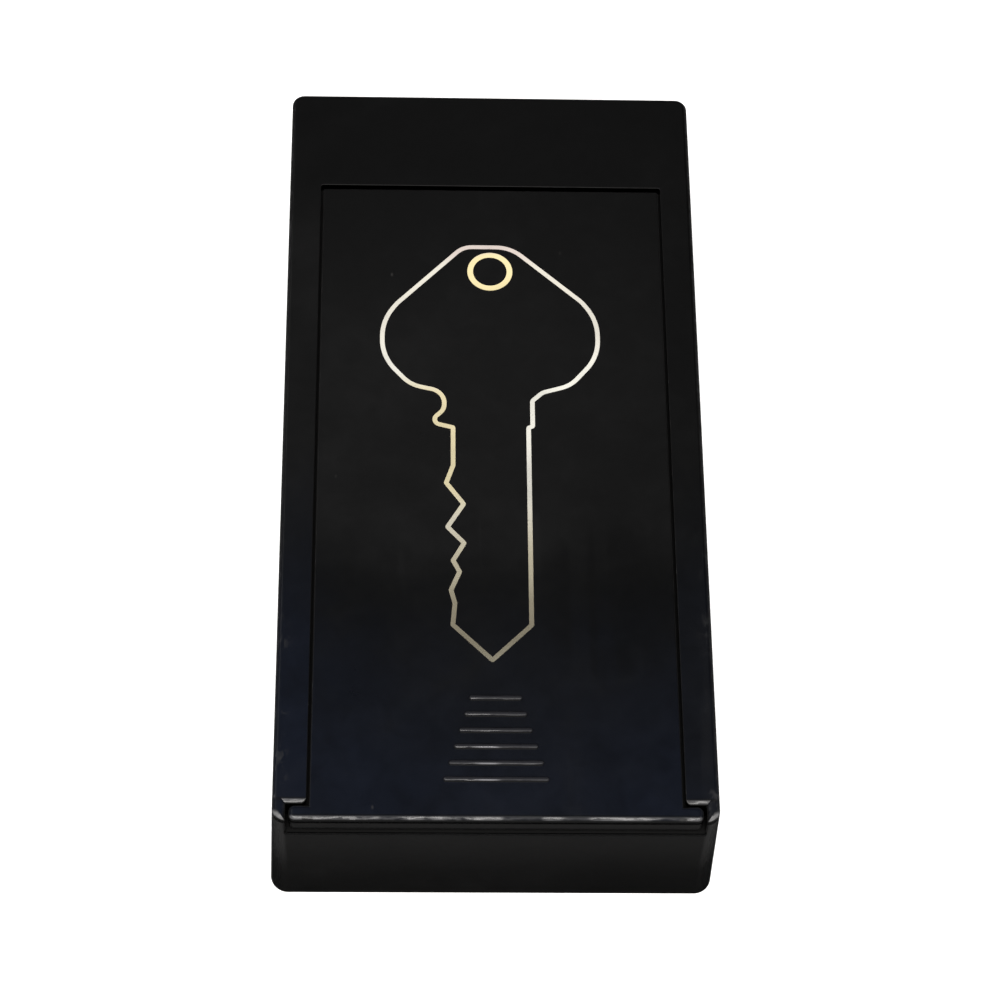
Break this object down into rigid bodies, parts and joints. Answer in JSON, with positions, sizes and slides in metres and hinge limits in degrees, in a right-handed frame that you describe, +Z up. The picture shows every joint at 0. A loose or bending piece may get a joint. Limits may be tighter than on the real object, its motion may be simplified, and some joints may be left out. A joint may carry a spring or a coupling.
{
  "type": "magnetic key box",
  "caption": "Slim black plastic key box with a flush lid that slides off the front, a gold line drawing of a key, grip ridges, and flat magnets recessed underneath.",
  "frame": {"origin": "centre of the box's footprint, on the plane of the magnets' faces that it rests on", "axes": "+Z up through the lid, +Y along the length towards the header at the closed end, +X to the right when the lid's grip end is nearest"},
  "size_m": [0.0516, 0.1008, 0.0211],
  "materials": {
    "case_plastic": "satin",
    "lid_plastic": "satin",
    "gold_foil": "satin",
    "liner_foam": "matte",
    "ferrite": "matte",
    "zinc_steel": "satin",
    "tape_foam": "matte"
  },
  "bodies": {
    "case": {"case_body": "case_plastic", "foam_liner": "liner_foam", "magnet_front": "ferrite", "magnet_rear": "ferrite", "backing_plate_front": "zinc_steel", "backing_plate_rear": "zinc_steel", "mounting_tape_front": "tape_foam", "mounting_tape_rear": "tape_foam"},
    "lid": {"sliding_lid": "lid_plastic", "key_outline_foil": "gold_foil"}
  },
  "joints": [
    {"name": "lid_slide", "type": "slide", "parent": "case", "child": "lid", "axis": [0, -1, 0], "range_m": [0, 0.09]}
  ]
}
